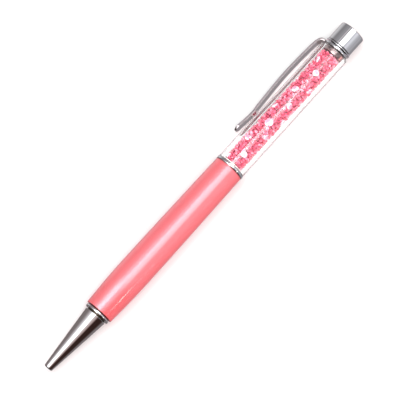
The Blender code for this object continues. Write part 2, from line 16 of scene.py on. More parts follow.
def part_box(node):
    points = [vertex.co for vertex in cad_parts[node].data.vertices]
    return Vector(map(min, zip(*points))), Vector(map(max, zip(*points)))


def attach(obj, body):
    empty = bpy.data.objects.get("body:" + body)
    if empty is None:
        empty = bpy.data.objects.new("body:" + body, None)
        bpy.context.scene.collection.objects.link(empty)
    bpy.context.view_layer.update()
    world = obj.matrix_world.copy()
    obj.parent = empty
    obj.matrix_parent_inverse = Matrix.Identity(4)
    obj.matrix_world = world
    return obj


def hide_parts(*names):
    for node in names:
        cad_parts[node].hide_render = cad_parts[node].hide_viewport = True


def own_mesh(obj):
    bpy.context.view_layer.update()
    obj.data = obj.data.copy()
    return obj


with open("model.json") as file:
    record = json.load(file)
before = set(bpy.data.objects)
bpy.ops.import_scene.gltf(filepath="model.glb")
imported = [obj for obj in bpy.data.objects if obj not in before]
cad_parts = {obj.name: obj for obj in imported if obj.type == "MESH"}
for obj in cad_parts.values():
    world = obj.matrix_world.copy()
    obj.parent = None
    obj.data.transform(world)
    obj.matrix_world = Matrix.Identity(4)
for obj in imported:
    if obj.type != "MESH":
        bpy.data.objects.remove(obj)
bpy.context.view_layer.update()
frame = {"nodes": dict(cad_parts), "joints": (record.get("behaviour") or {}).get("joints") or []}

MM = 0.001
ROUND_STEPS = 96  # facets round a full turn of what shows
TUBE_STEPS = 128  # and of the clear tube, which bends what is seen through it
SMALL_STEPS = 48  # and of the refill's metal point
SHARP = math.radians(25)  # rims bent more than this are rounded
CREASE = math.radians(40)  # edges bent more than this keep a hard shading line
MERGE_DISTANCE = 1e-7
RIM_ROUND = 0.12 * MM
RIM_BAND = 0.1 * MM  # how far in from a piece's greatest radius its outer rims are looked for

tube_low, tube_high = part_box("crystal_tube")
AXIS = Vector((0.0, (tube_low.y + tube_high.y) / 2, (tube_low.z + tube_high.z) / 2))
joints = {joint["name"]: joint for joint in frame["joints"]}
CLIP_UP = -Vector(joints["clip_flex"]["axis"])  # across the clip's width, upwards
CLIP_OUT = Vector((0.0, CLIP_UP.z, -CLIP_UP.y))  # from the pen's axis out through the clip


def extent(node):
    """A node's lowest and highest x, and its greatest distance from the pen's axis."""
    low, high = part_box(node)
    vertices = frame["nodes"][node].data.vertices
    return low.x, high.x, max(math.hypot(v.co.y - AXIS.y, v.co.z - AXIS.z) for v in vertices)


# ---------------------------------------------------------------- making pieces

def spun(points, steps=ROUND_STEPS):
    """Spins a profile of (x, radius) points about the pen's axis.

    A profile that starts off the axis is closed, so it makes a ring.
    """
    bm = bmesh.new()
    verts = [bm.verts.new((x, AXIS.y, AXIS.z + r)) for x, r in points]
    edges = [bm.edges.new(pair) for pair in zip(verts, verts[1:])]
    if points[0][1] > 0:
        edges.append(bm.edges.new((verts[-1], verts[0])))
    bmesh.ops.spin(bm, geom=verts + edges, cent=AXIS, axis=(1, 0, 0), angle=2 * math.pi,
                   steps=steps, use_merge=True)
    bmesh.ops.remove_doubles(bm, verts=bm.verts, dist=MERGE_DISTANCE)
    bmesh.ops.recalc_face_normals(bm, faces=bm.faces)
    return bm


def soften(bm, width, low=-1.0, high=1.0, least=0.0, most=1.0, segments=3):
    """Rounds the sharp rims between two x positions and between two radii."""
    rims = []
    for edge in bm.edges:
        middle = (edge.verts[0].co + edge.verts[1].co) / 2
        radius = math.hypot(middle.y - AXIS.y, middle.z - AXIS.z)
        if low <= middle.x <= high and least <= radius <= most and edge.calc_face_angle(0) > SHARP:
            rims.append(edge)
    bmesh.ops.bevel(bm, geom=rims, offset=width, offset_type="OFFSET", segments=segments, profile=0.5,
                    affect="EDGES", clamp_overlap=True, material=-1)


def piece_of(name, bm, material, body, slot, *nodes, smooth=True):
    """Makes a bmesh a piece that rides on a body and stands for these nodes."""
    mesh = bpy.data.meshes.new(name)
    bm.to_mesh(mesh)
    bm.free()
    mesh.materials.append(material)
    piece = bpy.data.objects.new(name, mesh)
    bpy.context.scene.collection.objects.link(piece)
    if smooth:
        mesh.shade_smooth()
        mesh.set_sharp_from_angle(angle=CREASE)
        even = piece.modifiers.new("even_shading", "WEIGHTED_NORMAL")
        even.keep_sharp = True
    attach(piece, body)
    if nodes:
        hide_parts(*nodes)
    return piece


# ---------------------------------------------------------------- materials

RING_STRETCH = 60  # how much longer a lathe mark is round the pen than along it
METAL_RELIEF = 2e-6
FINE_RELIEF = 1e-5
FLAKES_PER_METRE = 4600.0
FLAKE_TILT = 0.09


def new_material(name, colour, **sockets):
    """A Principled material, with its node tree and shader. The sockets' names have _ for each space."""
    made = bpy.data.materials.new(name)
    made.use_nodes = True
    shader = made.node_tree.nodes["Principled BSDF"]
    shader.inputs["Base Color"].default_value = (*colour, 1.0)
    for socket, value in sockets.items():
        shader.inputs[socket.replace("_", " ")].default_value = value
    return made, made.node_tree, shader


def add_node(tree, kind, links=None, values=None, **settings):
    """A node with settings, input values and links into its inputs."""
    node = tree.nodes.new("ShaderNode" + kind)
    for name, value in settings.items():
        setattr(node, name, value)
    for name, value in (values or {}).items():
        node.inputs[name].default_value = value
    for name, socket in (links or {}).items():
        tree.links.new(socket, node.inputs[name])
    return node


def place_on_pen(tree, scale):
    """The piece's own coordinates, from the pen's axis, times scale along and across it."""
    own = add_node(tree, "TexCoord").outputs["Object"]
    centred = add_node(tree, "Mapping", {"Vector": own}, {"Location": tuple(-AXIS)})
    return add_node(tree, "Mapping", {"Vector": centred.outputs[0]}, {"Scale": scale}).outputs[0]


def spread(tree, socket, low, high, start=0.3, end=0.7):
    """The socket's value, spread from start..end to low..high."""
    values = {"From Min": start, "From Max": end, "To Min": low, "To Max": high}
    return add_node(tree, "MapRange", {"Value": socket}, values).outputs[0]


def noise(tree, per_metre, scale, detail):
    """Noise over the piece, with so many grains per metre along and across the pen, times scale."""
    where = {"Vector": place_on_pen(tree, per_metre)}
    return add_node(tree, "TexNoise", where, {"Scale": scale, "Detail": detail}).outputs["Fac"]


def two_colours(tree, share, first, second):
    """The first colour where share is 0, the second where it is 1."""
    mix = add_node(tree, "Mix", {"Factor": share}, data_type="RGBA")
    mix.inputs["A"].default_value = (*first, 1.0)
    mix.inputs["B"].default_value = (*second, 1.0)
    return mix.outputs["Result"]


def bump(tree, shader, socket, strength, distance):
    """Relief from the socket's value, distance high."""
    made = add_node(tree, "Bump", {"Height": socket}, {"Strength": strength, "Distance": distance})
    tree.links.new(made.outputs[0], shader.inputs["Normal"])


def lathe_marks(tree, shader, rings, low, high, strength, distance):
    """Fine rings left round a turned piece, so many per metre, in its roughness and as relief."""
    marks = noise(tree, (rings, rings / RING_STRETCH, rings / RING_STRETCH), 1.0, 3.0)
    tree.links.new(spread(tree, marks, low, high), shader.inputs["Roughness"])
    bump(tree, shader, marks, strength, distance)


def metal(name, colour, rings, low, high, strength):
    """Turned metal."""
    made, tree, shader = new_material(name, colour, Metallic=1.0)
    lathe_marks(tree, shader, rings, low, high, strength, METAL_RELIEF)
    return made


def chrome_plate(name, colour):
    """Mirror plate, with the faint haze and hairlines of handling."""
    made, tree, shader = new_material(name, colour, Metallic=1.0)
    haze = noise(tree, (260, 420, 420), 1.0, 4.0)
    tree.links.new(spread(tree, haze, 0.03, 0.09), shader.inputs["Roughness"])
    bump(tree, shader, noise(tree, (9000, 500, 500), 1.0, 2.0), 0.05, METAL_RELIEF)
    return made


def pearl_lacquer():
    """Coral lacquer over fine pearl flakes, under a clear coat."""
    made, tree, shader = new_material(
        "pearl_lacquer", (0.93, 0.17, 0.19), IOR=2.2, Specular_IOR_Level=1.0,
        Specular_Tint=(1.0, 0.82, 1.0, 1.0), Coat_Weight=1.0, Coat_Roughness=0.08, Coat_IOR=1.68)
    where = place_on_pen(tree, (1, 1, 1))
    flakes = add_node(tree, "TexVoronoi", {"Vector": where}, {"Scale": FLAKES_PER_METRE})
    tilt = add_node(tree, "VectorMath", {0: flakes.outputs["Color"]}, {1: (0.5, 0.5, 0.5)},
                    operation="SUBTRACT")
    tilt = add_node(tree, "VectorMath", {0: tilt.outputs[0]}, {"Scale": FLAKE_TILT}, operation="SCALE")
    normal = add_node(tree, "NewGeometry").outputs["Normal"]
    tilted = add_node(tree, "VectorMath", {0: normal, 1: tilt.outputs[0]}, operation="ADD")
    tilted = add_node(tree, "VectorMath", {0: tilted.outputs[0]}, operation="NORMALIZE")
    tree.links.new(tilted.outputs[0], shader.inputs["Normal"])
    grain = add_node(tree, "SeparateColor", {"Color": flakes.outputs["Color"]}).outputs["Red"]
    tree.links.new(spread(tree, grain, 0.28, 0.46, 0.0, 1.0), shader.inputs["Roughness"])
    cloud = noise(tree, (60, 300, 300), 1.0, 2.0)
    share = add_node(tree, "Math", {0: grain, 1: cloud}, operation="MULTIPLY").outputs[0]
    colour = two_colours(tree, share, (0.92, 0.105, 0.108), (0.98, 0.135, 0.140))
    tree.links.new(colour, shader.inputs["Base Color"])
    return made


def glass_for_lamps(made, tree, shader, tint):
    """Lets the lamps' light straight through the glass, so that what is inside it is lit."""
    clear = add_node(tree, "BsdfTransparent", values={"Color": (*tint, 1.0)})
    path = add_node(tree, "LightPath")
    both = add_node(tree, "MixShader", {"Fac": path.outputs["Is Shadow Ray"]})
    tree.links.new(shader.outputs[0], both.inputs[1])
    tree.links.new(clear.outputs[0], both.inputs[2])
    tree.links.new(both.outputs[0], tree.nodes["Material Output"].inputs["Surface"])
    return made


def clear_acrylic():
    """Polished acrylic, with the faintest scuffs."""
    made, tree, shader = new_material("clear_acrylic", (1.0, 1.0, 1.0), Transmission_Weight=1.0, IOR=1.49)
    scuffs = noise(tree, (300, 900, 900), 1.0, 4.0)
    tree.links.new(spread(tree, scuffs, 0.0, 0.02, 0.55, 0.8), shader.inputs["Roughness"])
    return glass_for_lamps(made, tree, shader, (0.97, 0.97, 0.97))


def pink_crystal():
    """Cut glass in several pinks: each stone's own share picks its colour. A faint pink emission is painted
    light: the stones glow a little, which lifts the shade between them.
    """
    # Emission_Color and Emission_Strength are painted light, a glow that fills the shade between the stones
    made, tree, shader = new_material("pink_crystal", (0.95, 0.2, 0.3), Roughness=0.14, IOR=1.55,
                                      Specular_IOR_Level=0.3, Transmission_Weight=0.1,
                                      Emission_Color=(1.0, 0.26, 0.40, 1.0), Emission_Strength=0.02)
    share = add_node(tree, "Attribute", attribute_name="stone").outputs["Fac"]
    ramp = add_node(tree, "ValToRGB", {"Fac": share})
    ramp.color_ramp.elements[0].color = (0.58, 0.055, 0.115, 1.0)
    ramp.color_ramp.elements[1].color = (0.92, 0.42, 0.54, 1.0)
    for place, colour in ((0.3, (0.73, 0.10, 0.18, 1.0)), (0.75, (0.84, 0.18, 0.28, 1.0))):
        ramp.color_ramp.elements.new(place).color = colour
    tree.links.new(ramp.outputs["Color"], shader.inputs["Base Color"])
    return made


def clear_crystal():
    """Larger clear stones with a painted reflection: the sloping crown is painted pale, and the table is
    painted pink to stand for the pink stones seen through it.
    """
    made, tree, shader = new_material("clear_crystal", (1.0, 0.9, 0.97), Roughness=0.08, IOR=1.55,
                                      Specular_IOR_Level=0.35, Transmission_Weight=0.15)
    crown = add_node(tree, "Attribute", attribute_name="crown").outputs["Fac"]
    # painted reflection: pale on the crown's faces, pink on the table
    colour = two_colours(tree, crown, (0.95, 0.34, 0.48), (1.0, 0.80, 0.90))
    tree.links.new(colour, shader.inputs["Base Color"])
    return made


def plastic(name, colour, roughness, **sockets):
    """Moulded plastic, with a slight grain and a slow drift in its colour."""
    made, tree, shader = new_material(name, colour, **sockets)
    grain = noise(tree, (1, 1, 1), 3500.0, 3.0)
    tree.links.new(spread(tree, grain, roughness * 0.8, roughness * 1.2), shader.inputs["Roughness"])
    bump(tree, shader, grain, 0.15, FINE_RELIEF)
    drift = noise(tree, (1, 1, 1), 180.0, 2.0)
    darker, lighter = [0.9 * c for c in colour], [min(1.08 * c, 1.0) for c in colour]
    tree.links.new(two_colours(tree, drift, darker, lighter), shader.inputs["Base Color"])
    return made


# ---------------------------------------------------------------- the nose

NOSE_TIP_R = 1.4 * MM
MOUTH_R = 0.95 * MM
MOUTH_LENGTH = 3.0 * MM
CHAMBER_R = 1.455 * MM
THREAD_LENGTH = 6.4 * MM
THREAD_R = 2.54 * MM
TIP_ROUND = 0.3 * MM
NOSE_RING_BORE_R = 3.35 * MM
NOSE_RING_ROUND = 0.25 * MM


def nose_cone(chrome):
    """The nose: a cone with a narrow mouth, the spring's chamber, and a threaded socket at its wide end."""
    low, high, base_r = extent("nose_cone")
    step = low + MOUTH_LENGTH
    seat = step + CHAMBER_R - MOUTH_R
    thread = high - THREAD_LENGTH
    bm = spun([(high, base_r), (low, NOSE_TIP_R), (low, MOUTH_R), (step, MOUTH_R), (seat, CHAMBER_R),
               (thread, CHAMBER_R), (thread, THREAD_R), (high, THREAD_R)])
    soften(bm, TIP_ROUND, high=low, least=(NOSE_TIP_R + MOUTH_R) / 2, segments=5)
    soften(bm, RIM_ROUND, low=high - RIM_ROUND)
    piece_of("nose_cone_shell", bm, chrome, "lower_half", "chrome", "nose_cone")


def trim_ring(node, bore_r, material, body, round_by):
    """A plain ring with its outer rims rounded."""
    low, high, radius = extent(node)
    bm = spun([(high, radius), (low, radius), (low, bore_r), (high, bore_r)])
    soften(bm, round_by, least=(radius + bore_r) / 2, segments=4)
    piece_of(node + "_trim", bm, material, body, "chrome", node)


# ---------------------------------------------------------------- the barrel

BARREL_NOSE_R = 4.72 * MM
BARREL_TOP_R = 4.9 * MM
BARREL_BORE_R = 4.0 * MM
BELLY_PLACE = 15.4 * MM  # from the barrel's lower end to where it is widest
BELLY_POWER = 1.6
BARREL_ROWS = 72


def barrel(lacquer):
    """The lacquered barrel and its bore."""
    low, high, belly_r = extent("lower_barrel")

    def radius(x):
        """The barrel swells to its belly, then narrows slowly towards its top."""
        along = x - low
        if along < BELLY_PLACE:
            return BARREL_NOSE_R + (belly_r - BARREL_NOSE_R) * math.sin(math.pi / 2 * along / BELLY_PLACE)
        share = (along - BELLY_PLACE) / (high - low - BELLY_PLACE)
        return belly_r - (belly_r - BARREL_TOP_R) * share**BELLY_POWER

    wall = [high + (low - high) * i / BARREL_ROWS for i in range(BARREL_ROWS + 1)]
    bm = spun([(x, radius(x)) for x in wall] + [(low, BARREL_BORE_R), (high, BARREL_BORE_R)])
    soften(bm, RIM_ROUND, least=BARREL_BORE_R + RIM_ROUND)
    piece_of("barrel_shell", bm, lacquer, "lower_half", "pearl_lacquer", "lower_barrel")


# ---------------------------------------------------------------- the crystal tube

TUBE_BORE_R = 3.55 * MM
STUD_R = 1.5 * MM
STUD_HOLE_R = 1.55 * MM
STUD_STEP = 0.12 * MM
STEM_R = 2.35 * MM
TOP_PLUG_ROUND = 0.08 * MM
BOTTOM_PLUG_ROUND = 0.05 * MM
SLEEVE_R = 3.9 * MM
SLEEVE_BORE_R = 2.4 * MM
GROOVE_DEPTH = 0.9 * MM
GROOVE_SPARE = 0.1 * MM  # how much wider than its ring the groove is, on either side
FLANGE = 1.0 * MM
FLANGE_ROUND = 0.16 * MM


def clear_tube(acrylic):
    """The thick clear tube."""
    low, high, radius = extent("crystal_tube")
    bm = spun([(high, radius), (low, radius), (low, TUBE_BORE_R), (high, TUBE_BORE_R)],
              TUBE_STEPS)
    soften(bm, RIM_ROUND, segments=4)
    piece_of("clear_tube", bm, acrylic, "upper_half", "clear_acrylic", "crystal_tube")


def tube_plugs(steel, nylon):
    """The plug and stud in the tube's top, and the plug and stem in its bottom."""
    low, high, plug_r = extent("tube_top_plug")
    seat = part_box("crystal_tube")[1].x - STUD_STEP
    bm = spun([(high, 0.0), (high, STUD_R), (seat, STUD_R), (seat, plug_r), (low, plug_r), (low, 0.0)])
    soften(bm, TOP_PLUG_ROUND)
    piece_of("top_plug", bm, steel, "upper_half", "steel", "tube_top_plug")
    low, high, plug_r = extent("tube_bottom_plug")
    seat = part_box("crystal_tube")[0].x
    bm = spun([(high, 0.0), (high, plug_r), (seat, plug_r), (seat, STEM_R), (low, STEM_R), (low, 0.0)])
    soften(bm, BOTTOM_PLUG_ROUND)
    piece_of("bottom_plug", bm, nylon, "upper_half", "nylon", "tube_bottom_plug")


def centre_flange(chrome):
    """The ring between the halves: its flange shows, and its sleeve turns in the barrel."""
    low, high, radius = extent("centre_ring")
    seal_low, seal_high, _ = extent("friction_ring")
    groove_r = SLEEVE_R - GROOVE_DEPTH
    groove_low, groove_high = seal_low - GROOVE_SPARE, seal_high + GROOVE_SPARE
    bm = spun([(high, radius), (high - FLANGE, radius), (high - FLANGE, SLEEVE_R),
               (groove_high, SLEEVE_R), (groove_high, groove_r), (groove_low, groove_r),
               (groove_low, SLEEVE_R), (low, SLEEVE_R), (low, SLEEVE_BORE_R), (high, SLEEVE_BORE_R)])
    soften(bm, FLANGE_ROUND, least=radius - RIM_BAND, segments=4)
    piece_of("centre_flange", bm, chrome, "upper_half", "chrome", "centre_ring")


# ---------------------------------------------------------------- the crystals

STONE_R = 0.56 * MM
STONE_LAYERS = 3
FIRST_LAYER_DEPTH = 0.85  # from the wall, and the rest here, in stone radii
LAYER_STEP = 1.4
ROW_STEP = 1.5
PLACE_STEP = 1.6
DEPTH_SPREAD = 0.3
ROW_SPREAD = 0.4  # in rows and in places round
PLACE_SPREAD = 0.35
SIZES = (0.8, 1.1)  # a stone's least and greatest size, as shares of its kind's radius
STONE_SIDES = 8
BIG_STONE_R = 1.25 * MM
BIG_STONE_COUNT = 28
BIG_STONE_SIDES = 10
BIG_STONE_SPREAD = 0.8  # along the tube, in steps from one to the next
BIG_STONE_TURN = 2.4  # from one to the next, round the tube
BIG_STONE_LEAN = 0.3
BIG_STONE_DEPTH = 0.5  # of its middle below the wall, in its own radii
BIG_STONE_ROOM = 0.95  # kept free of small stones' middles
TABLE_R = 0.58  # of a stone of radius 1
CROWN_HEIGHT = 0.38
POINT_DEPTH = 0.86
CROWN_CORNERS = 4  # of a crown's face: the table has more, the faces below have three
SEED = 7


def loose_places(low, high, bore_r, chance):
    """Uneven places for the small stones, in layers from the wall inwards, as (x, y, z) from the axis."""
    spots = []
    rows = round((high - low - 2 * STONE_R) / (ROW_STEP * STONE_R))
    for layer in range(STONE_LAYERS):
        distance = bore_r - (FIRST_LAYER_DEPTH + LAYER_STEP * layer) * STONE_R
        around = int(2 * math.pi * distance / (PLACE_STEP * STONE_R))
        for row in range(rows + 1):
            for place in range(around):
                along = row + chance.uniform(-ROW_SPREAD, ROW_SPREAD)
                x = low + STONE_R + (high - low - 2 * STONE_R) * along / rows
                turn = 2 * math.pi * (place + row / 2 + chance.uniform(-PLACE_SPREAD, PLACE_SPREAD)) / around
                out = distance - chance.uniform(0, DEPTH_SPREAD) * STONE_R
                x = min(max(x, low + STONE_R), high - STONE_R)
                spots.append(Vector((x, out * math.cos(turn), out * math.sin(turn))))
    return spots


def cut_stone(sides):
    """The points and faces of a round stone of radius 1.

    A crown slopes up (+Z) from its girdle to a flat table, and facets meet in a point below.
    """
    bm = bmesh.new()
    bmesh.ops.create_cone(bm, cap_ends=True, segments=sides, radius1=1.0, radius2=TABLE_R,
                          depth=CROWN_HEIGHT)
    below = min(bm.faces, key=lambda face: face.calc_center_median().z)
    bmesh.ops.poke(bm, faces=[below], offset=POINT_DEPTH)
    bmesh.ops.recalc_face_normals(bm, faces=bm.faces)
    bm.verts.index_update()
    stone = [v.co.copy() for v in bm.verts], [[v.index for v in face.verts] for face in bm.faces]
    bm.free()
    return stone


def scatter(name, stone, places, material, chance, *nodes):
    """One piece with a copy of the stone at each (spot, turn, size).

    Each stone has a random share, for its colour, and its crown's faces are marked, for the clear stones'
    painted reflection.
    """
    points, faces = stone
    bm = bmesh.new()
    share = bm.faces.layers.float.new("stone")
    crown = bm.faces.layers.float.new("crown")
    for spot, turn, size in places:
        move = Matrix.LocRotScale(AXIS + spot, turn, Vector((size, size, size)))
        corners = [bm.verts.new(move @ point) for point in points]
        own = chance.random()
        for face in faces:
            facet = bm.faces.new([corners[i] for i in face])
            facet[share] = own
            facet[crown] = float(len(face) == CROWN_CORNERS)
    piece_of(name, bm, material, "upper_half", "pink_crystal", *nodes, smooth=False)


def crystals(pink, clear):
    """The loose stones: large clear ones against the wall, and small pink ones in every other place."""
    low, high, bore_r = extent("crystal_fill")
    chance = random.Random(SEED)
    big = []
    for i in range(BIG_STONE_COUNT):
        size = BIG_STONE_R * chance.uniform(*SIZES)
        along = i + chance.uniform(0, BIG_STONE_SPREAD)
        x = low + size + (high - low - 2 * size) * along / BIG_STONE_COUNT
        out = Vector((0.0, 1.0, 0.0)) @ Matrix.Rotation(BIG_STONE_TURN * i, 3, "X")
        lean = out + Vector([chance.uniform(-BIG_STONE_LEAN, BIG_STONE_LEAN) for _ in range(3)])
        spot = Vector((x, 0, 0)) + out * (bore_r - BIG_STONE_DEPTH * size)
        big.append((spot, lean.to_track_quat("Z", "X"), size))
    small = []
    for spot in loose_places(low, high, bore_r, chance):
        turn = Euler([chance.uniform(0, 2 * math.pi) for _ in range(3)]).to_quaternion()
        size = STONE_R * chance.uniform(*SIZES)
        if all((spot - other).length > BIG_STONE_ROOM * other_size for other, _, other_size in big):
            small.append((spot, turn, size))
    scatter("clear_stones", cut_stone(BIG_STONE_SIDES), big, clear, chance)
    scatter("pink_stones", cut_stone(STONE_SIDES), small, pink, chance, "crystal_fill")


# ---------------------------------------------------------------- the cap and the clip

CAP_WALL = 0.75 * MM
CAP_CROWN = 1.0 * MM
CROWN_ROUND = 0.3 * MM
CLIP_WIDTH = 3.2 * MM
CLIP_THICKNESS = 0.65 * MM
# The middle of the clip's thickness, down from the middle of the clip ring: the root as (distance
# down, share of the way out to the arm), the arm as (distance down, distance out from the tube).
CLIP_ROOT = ((0.0, 0.0), (0.02, 0.27), (0.12, 0.56), (0.42, 0.8))
CLIP_ARM = (
    (1.0, 1.11), (2.4, 1.46), (5.2, 1.72), (9.5, 1.93), (15.0, 2.05), (20.0, 1.93), (25.0, 1.65),
    (28.6, 1.43), (31.4, 1.16), (33.8, 1.25), (36.2, 1.52), (38.0, 1.67), (39.3, 1.72),
)
CLIP_ROWS = 200
CLIP_COLUMNS = 20
DIMPLE_DOWN = 31.4 * MM
DIMPLE_DEPTH = 0.62 * MM
DIMPLE_WIDTH = 1.0 * MM
DIMPLE_STEEPNESS = 1.5
CLIP_ROOT_RISE = 0.02 * MM  # of the root's middle above the ring
CLIP_TIP_SHARE = 0.2  # the tip's least half width, of the clip's
CLIP_EDGE_ROUND = 0.1 * MM
CLIP_EDGE_ANGLE = math.radians(50)
SHARE_STEP = 0.002  # along the route to either side, for its direction


def cap(chrome):
    """The cap, hollow from below."""
    low, high, radius = extent("finial_cap")
    cavity_r, ceiling = radius - CAP_WALL, high - CAP_CROWN
    bm = spun([(high, 0.0), (high, radius), (low, radius),
               (low, cavity_r), (ceiling, cavity_r), (ceiling, 0.0)])
    soften(bm, CROWN_ROUND, low=high - RIM_ROUND, segments=5)
    soften(bm, RIM_ROUND, high=low + RIM_ROUND, least=radius - RIM_ROUND)
    piece_of("cap_shell", bm, chrome, "upper_half", "chrome", "finial_cap")


def smooth_point(points, share):
    """The point at share, from 0 to 1, of a smooth curve through points (Catmull-Rom)."""
    place = share * (len(points) - 1)
    i = min(int(place), len(points) - 2)
    t = place - i
    ends = [points[max(i - 1, 0)], points[i], points[i + 1], points[min(i + 2, len(points) - 1)]]
    a, b, c, d = (Vector(end) for end in ends)
    return 0.5 * (2 * b + (c - a) * t + (2 * a - 5 * b + 4 * c - d) * t**2 + (3 * b - a - 3 * c + d) * t**3)


def clip_route():
    """The clip's route as (x, distance from the pen's axis)."""
    ring_low, ring_high, ring_r = extent("clip_ring")
    tube_r = extent("crystal_tube")[2]
    middle = (ring_low + ring_high) / 2
    root_r = ring_r + CLIP_ROOT_RISE
    rise = tube_r + CLIP_ARM[0][1] * MM - root_r
    route = [(middle - down * MM, root_r + share * rise) for down, share in CLIP_ROOT]
    return route + [(middle - down * MM, tube_r + out * MM) for down, out in CLIP_ARM]


def clip(chrome):
    """The bent strip, with a dimple pressed in near its tip to grip against the tube."""
    route = clip_route()
    half, tip = CLIP_WIDTH / 2, route[-1][0]
    bm = bmesh.new()
    bmesh.ops.create_grid(bm, x_segments=CLIP_ROWS, y_segments=CLIP_COLUMNS, size=1.0)
    for vert in bm.verts:
        share = (vert.co.x + 1) / 2
        x, distance = smooth_point(route, share)
        before = smooth_point(route, max(share - SHARE_STEP, 0.0))
        onward = smooth_point(route, min(share + SHARE_STEP, 1.0)) - before
        inward = Vector((-onward.y, onward.x)).normalized()
        short = half - min(max(x - tip, 0.0), half)
        side = vert.co.y * max(math.sqrt(half**2 - short**2), CLIP_TIP_SHARE * half)
        away = math.hypot(route[0][0] - DIMPLE_DOWN - x, side) / DIMPLE_WIDTH
        press = inward * DIMPLE_DEPTH * math.exp(-DIMPLE_STEEPNESS * away**2)
        vert.co = AXIS + Vector((x + press.x, 0, 0)) + CLIP_OUT * (distance + press.y) + CLIP_UP * side
    piece = piece_of("clip_spring", bm, chrome, "clip", "chrome", "clip", smooth=False)
    sheet = piece.modifiers.new("thickness", "SOLIDIFY")
    sheet.thickness = CLIP_THICKNESS
    sheet.offset = 0.0
    sheet.use_even_offset = True
    edges = piece.modifiers.new("edges", "BEVEL")
    edges.width = CLIP_EDGE_ROUND
    edges.segments = 3
    edges.limit_method = "ANGLE"
    edges.angle_limit = CLIP_EDGE_ANGLE
    piece.data.shade_smooth()
    even = piece.modifiers.new("even_shading", "WEIGHTED_NORMAL")
    even.keep_sharp = True


# ---------------------------------------------------------------- the refill

NEEDLE_R = 0.8 * MM
NEEDLE_CONE = 2.2 * MM
NEEDLE_RIM_R = 0.42 * MM
SPIGOT_R = 0.825 * MM
SHOULDER_PLACE = 3.5 * MM  # of its lower face, from the metal point's upper end
SHOULDER_WIDTH = 0.5 * MM
INK_CHANNEL_R = 0.15 * MM
BALL_SEAT_R = 0.365 * MM
BALL_SEAT_DEPTH = 0.65 * MM
NEEDLE_ROUND = 0.04 * MM
NEEDLE_BAND = 0.01 * MM  # how far in from the needle's radius its rims are looked for
BALL_STEPS = (32, 20)  # facets round the ball and from pole to pole
WIRE_R = 0.14 * MM
SPRING_R = 1.14 * MM
WIRE_SIDES = 10
STEPS_PER_TURN = 36
CLOSED_TURNS = 1.5  # at each end
OPEN_TURNS = 6.0
CLOSED_PITCH = 2.2 * WIRE_R


def writing_point(steel, tungsten):
    """The refill's metal point, with the shoulder that presses the spring, and the ball in its seat."""
    low, high, shoulder_r = extent("refill_tip")
    shoulder = high - SHOULDER_PLACE
    spigot, seat = shoulder + SHOULDER_WIDTH, low + BALL_SEAT_DEPTH
    bm = spun([(high, SPIGOT_R), (spigot, SPIGOT_R), (spigot, shoulder_r), (shoulder, shoulder_r),
               (shoulder, NEEDLE_R), (low + NEEDLE_CONE, NEEDLE_R), (low, NEEDLE_RIM_R),
               (low, BALL_SEAT_R), (seat, BALL_SEAT_R), (seat, INK_CHANNEL_R), (high, INK_CHANNEL_R)],
              SMALL_STEPS)
    soften(bm, NEEDLE_ROUND, least=NEEDLE_R - NEEDLE_BAND)
    piece_of("writing_point", bm, steel, "refill", "steel", "refill_tip")
    ball_low, ball_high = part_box("writing_ball")
    bm = bmesh.new()
    bmesh.ops.create_uvsphere(bm, u_segments=BALL_STEPS[0], v_segments=BALL_STEPS[1],
                              radius=(ball_high.x - ball_low.x) / 2)
    bmesh.ops.translate(bm, vec=(ball_low + ball_high) / 2, verts=bm.verts)
    piece_of("ball", bm, tungsten, "ball", "steel", "writing_ball")


def coil_spring(steel):
    """The return spring, its end coils closed. The refill's shoulder presses it shut."""
    low, high = (corner.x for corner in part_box("return_spring"))
    first, last = low + WIRE_R, high - WIRE_R
    open_pitch = (last - first - 2 * CLOSED_TURNS * CLOSED_PITCH) / OPEN_TURNS
    closed, spread_out = (CLOSED_TURNS, CLOSED_PITCH), (OPEN_TURNS, open_pitch)
    bm = bmesh.new()
    bmesh.ops.create_circle(bm, cap_ends=True, segments=WIRE_SIDES, radius=WIRE_R)
    bmesh.ops.translate(bm, vec=(first, AXIS.y, AXIS.z + SPRING_R), verts=bm.verts)
    geom = [*bm.verts, *bm.edges, *bm.faces]
    centre = Vector((first, AXIS.y, AXIS.z))
    for turns, pitch in (closed, spread_out, closed):
        count = int(turns * STEPS_PER_TURN)
        step = Vector((pitch / STEPS_PER_TURN, 0, 0))
        geom = bmesh.ops.spin(bm, geom=geom, cent=centre, axis=(1, 0, 0), dvec=step,
                              angle=2 * math.pi * turns, steps=count)["geom_last"]
        centre += step * count
    bmesh.ops.recalc_face_normals(bm, faces=bm.faces)
    piece = piece_of("coil_spring", bm, steel, "lower_half", "steel", "return_spring")
    piece.modifiers.clear()
    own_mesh(piece)


# ---------------------------------------------------------------- light, floor and camera

CAMERA_TO_NOSE = math.radians(8.0)
CAMERA_TO_CLIP = math.radians(14.54)
PEN_TURN = math.radians(47.81)
CAMERA_DISTANCE = 1.1
LENS = 324.4
CLIP_END = 10.0
AIM = (0.55 * MM, 0.52 * MM)  # how far right of and above the middle of the view the pen's middle lies
FLOOR_HALF = 3.0


def camera():
    """Looks down on the pen, a little from its nose end and the clip's side. The cap is up and right."""
    view = Vector((-math.sin(CAMERA_TO_NOSE), math.cos(CAMERA_TO_NOSE) * math.sin(CAMERA_TO_CLIP),
                   math.cos(CAMERA_TO_NOSE) * math.cos(CAMERA_TO_CLIP)))
    along = (Vector((1, 0, 0)) - view * view.x).normalized()
    across = view.cross(along)
    right = along * math.cos(PEN_TURN) - across * math.sin(PEN_TURN)
    up = along * math.sin(PEN_TURN) + across * math.cos(PEN_TURN)
    made = bpy.data.objects.new("camera", bpy.data.cameras.new("camera"))
    bpy.context.scene.collection.objects.link(made)
    made.data.lens = LENS
    made.data.clip_end = CLIP_END
    made.matrix_world = Matrix((right, up, view)).transposed().to_4x4()
    made.location = AXIS + view * CAMERA_DISTANCE - right * AIM[0] - up * AIM[1]
    bpy.context.scene.camera = made


